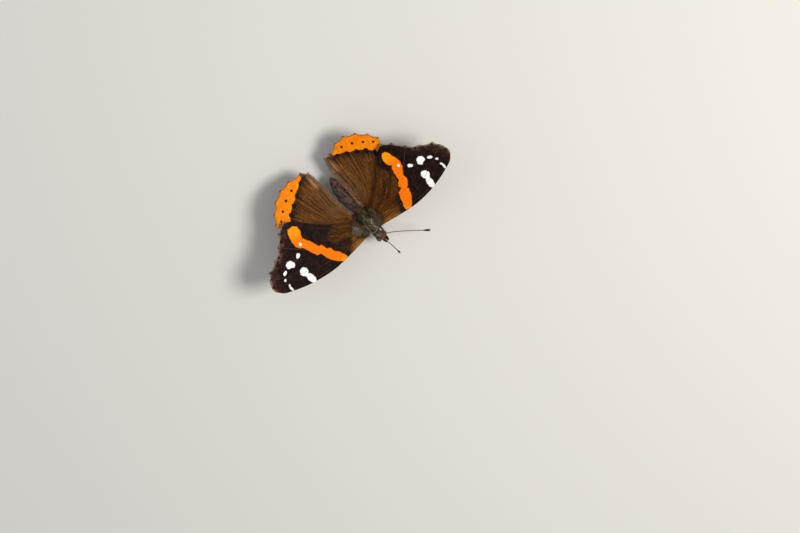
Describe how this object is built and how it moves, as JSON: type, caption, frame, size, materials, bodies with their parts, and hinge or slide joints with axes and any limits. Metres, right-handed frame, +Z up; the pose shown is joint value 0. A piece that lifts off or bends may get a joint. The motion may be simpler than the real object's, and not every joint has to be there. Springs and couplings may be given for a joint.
{
  "type": "red admiral butterfly, life-size model with open wings",
  "caption": "Life-size still model of a red admiral butterfly standing with its wings spread open, one feeler spread and one raised",
  "frame": {"origin": "the middle of the underside of the whole insect's box, on the ground between the feet", "axes": "+X points forward past the head, +Y to the insect's left along the wings, +Z up from the ground"},
  "size_m": [0.0386, 0.0644, 0.0182],
  "materials": {
    "body_fur": "soft olive-brown hair with paler grey and straw-coloured lines",
    "abdomen_fur": "short dark grey-brown hair, paler along the segment edges",
    "palp_fur": "reddish-brown hair with whitish lines",
    "forewing_scales": "powdery scales: near-black outer half with white spots, a vivid orange band, brown-gold base",
    "hindwing_scales": "powdery brown scales with golden hair streaks and an orange border with black dots",
    "eye": "dark red-brown, faceted and slightly shiny",
    "feeler": "brown shaft, black club with a pale tip",
    "leg": "pale buff scales, satin"
  },
  "bodies": {
    "root": {"head": "body_fur", "thorax": "body_fur", "abdomen": "abdomen_fur", "proboscis": "feeler", "eye_left": "eye", "antenna_left": "feeler", "palp_left": "palp_fur", "foreleg_left": "leg", "midleg_left": "leg", "hindleg_left": "leg", "forewing_left": "forewing_scales", "hindwing_left": "hindwing_scales", "eye_right": "eye", "antenna_right": "feeler", "palp_right": "palp_fur", "foreleg_right": "leg", "midleg_right": "leg", "hindleg_right": "leg", "forewing_right": "forewing_scales", "hindwing_right": "hindwing_scales"}
  },
  "joints": []
}
